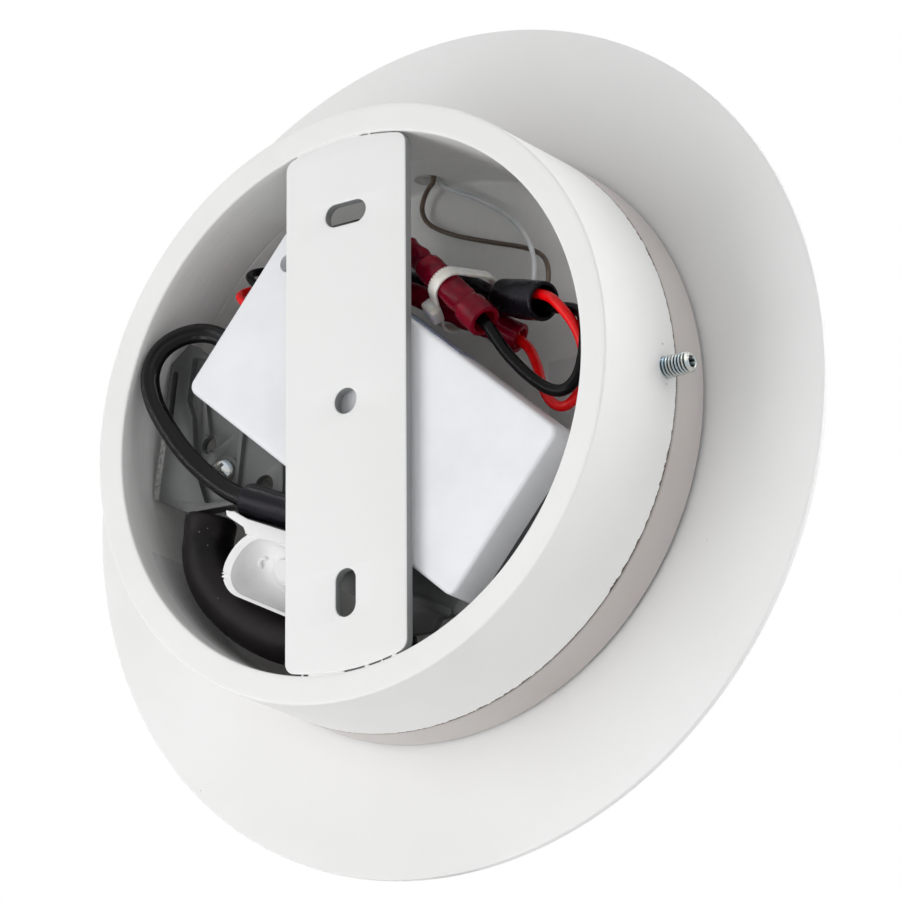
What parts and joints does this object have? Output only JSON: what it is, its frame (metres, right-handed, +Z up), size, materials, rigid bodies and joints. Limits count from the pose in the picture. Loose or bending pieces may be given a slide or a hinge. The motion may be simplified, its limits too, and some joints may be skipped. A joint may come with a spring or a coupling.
{
  "type": "wall light",
  "caption": "Disc-shaped indirect outdoor wall light: welded ring with mounting strap, lift-off disc front with opal light ring, driver and wiring inside, locked by side grub screws.",
  "frame": {"origin": "centre of the mounting strap's middle hole, in the plane of the wall", "axes": "+Z up on the wall, +Y into the wall, so the disc faces -Y; +X is to the right when the lit front is looked at"},
  "size_m": [0.242, 0.0505, 0.242],
  "materials": {
    "white_powder_coat": "matt white powder coat",
    "clear_film": "clear label film",
    "opal_acrylic": "satin opal acrylic",
    "black_foam": "matt foam",
    "strip_board": "matt white board",
    "led_phosphor": "yellow phosphor",
    "white_plastic": "satin white plastic",
    "metal_foil": "bright speckled foil",
    "dark_grey_plastic": "satin dark grey plastic",
    "zinc_steel": "bright zinc plate",
    "black_shrink": "satin black shrink tube",
    "black_rubber": "dusty matt rubber",
    "milky_plastic": "milky white plastic",
    "crimson_vinyl": "glossy crimson vinyl",
    "clear_nylon": "natural nylon",
    "black_pvc": "satin black insulation",
    "red_pvc": "glossy red insulation",
    "bronze_lead": "tinned strands in clear insulation",
    "white_pvc": "white insulation"
  },
  "bodies": {
    "housing": {"housing_ring": "white_powder_coat", "mounting_strap": "white_powder_coat", "strap_welds": "white_powder_coat", "wall_film": "clear_film"},
    "front": {"base_pan": "white_powder_coat", "front_disc": "white_powder_coat", "opal_ring": "opal_acrylic", "seal_ring": "black_foam", "light_strip": "strip_board", "light_chips": "led_phosphor", "driver_cover": "white_plastic", "foil_strip": "metal_foil", "driver_tray": "dark_grey_plastic", "tray_screws": "zinc_steel", "tray_standoffs": "zinc_steel", "mains_sleeve": "black_shrink", "black_hose": "black_rubber", "terminal_cover": "milky_plastic", "terminal_block": "milky_plastic", "terminal_lever": "milky_plastic", "splice_one": "crimson_vinyl", "splice_two": "crimson_vinyl", "output_sleeve": "black_shrink", "cable_tie": "clear_nylon", "floor_film": "clear_film", "mains_lead": "black_pvc", "black_lead": "black_pvc", "red_lead": "red_pvc", "driver_lead_red": "red_pvc", "driver_lead_black": "black_pvc", "lead_sheath": "black_pvc", "strip_lead_bronze": "bronze_lead", "strip_lead_white": "white_pvc"},
    "grub_right": {"grub_screw_right": "zinc_steel"},
    "grub_left": {"grub_screw_left": "zinc_steel"}
  },
  "joints": [
    {"name": "front_lift_off", "type": "slide", "parent": "housing", "child": "front", "axis": [0, -1, 0], "range_m": [0, 0.06]},
    {"name": "grub_right_turn_in", "type": "slide", "parent": "housing", "child": "grub_right", "axis": [1, 0, 0], "range_m": [-0.0036, 0.0084]},
    {"name": "grub_left_turn_in", "type": "slide", "parent": "housing", "child": "grub_left", "axis": [-1, 0, 0], "range_m": [-0.0036, 0.0084]}
  ]
}
